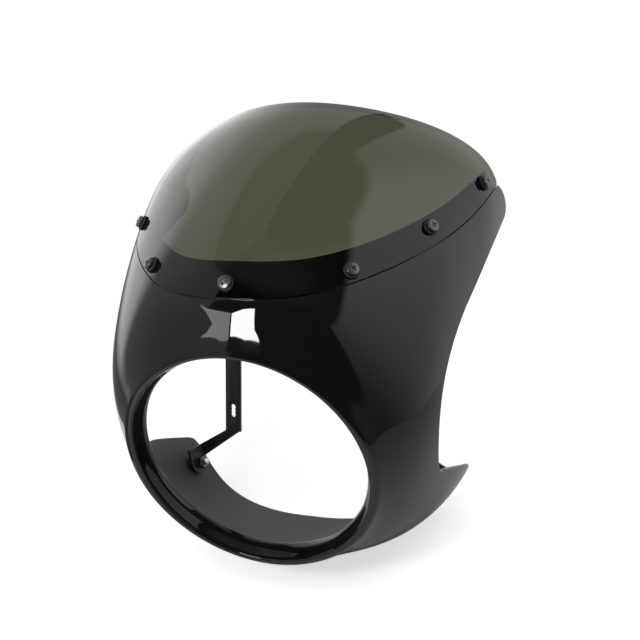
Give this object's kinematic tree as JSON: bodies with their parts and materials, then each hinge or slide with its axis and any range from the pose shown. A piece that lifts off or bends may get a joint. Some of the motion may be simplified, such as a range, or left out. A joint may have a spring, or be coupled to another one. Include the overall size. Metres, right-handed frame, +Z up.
{
  "type": "motorcycle headlight cowl",
  "caption": "Moulded headlight cowl with a round lamp opening, a smoked bubble screen bolted over a stepped flange, and inner steel brackets.",
  "frame": {"origin": "centre of the round lamp seat, in the middle of its straight wall", "axes": "+X to the right seen from the front camera side, across the symmetry plane; +Y towards the rear along the lamp's axis; +Z up"},
  "size_m": [0.3026, 0.2607, 0.3333],
  "materials": {
    "shell": "gloss",
    "screen": "clear gloss, smoked",
    "dark_screw": "dark zinc",
    "rubber": "matte",
    "bracket": "satin black",
    "zinc": "bright zinc"
  },
  "bodies": {
    "root": {"cowl_shell": "shell", "windscreen": "screen", "screen_screw_1": "dark_screw", "screen_screw_2": "dark_screw", "screen_screw_3": "dark_screw", "screen_screw_4": "dark_screw", "screen_screw_5": "dark_screw", "screen_screw_6": "dark_screw", "screen_screw_7": "dark_screw", "screen_washer_1": "rubber", "screen_washer_2": "rubber", "screen_washer_3": "rubber", "screen_washer_4": "rubber", "screen_washer_5": "rubber", "screen_washer_6": "rubber", "screen_washer_7": "rubber", "screen_nut_1": "dark_screw", "screen_nut_2": "dark_screw", "screen_nut_3": "dark_screw", "screen_nut_4": "dark_screw", "screen_nut_5": "dark_screw", "screen_nut_6": "dark_screw", "screen_nut_7": "dark_screw", "bracket_left": "bracket", "bracket_right": "bracket", "mount_stud_left": "zinc", "mount_stud_right": "zinc", "mount_washer_left": "dark_screw", "mount_washer_right": "dark_screw", "mount_nut_left": "dark_screw", "mount_nut_right": "dark_screw"}
  },
  "joints": []
}
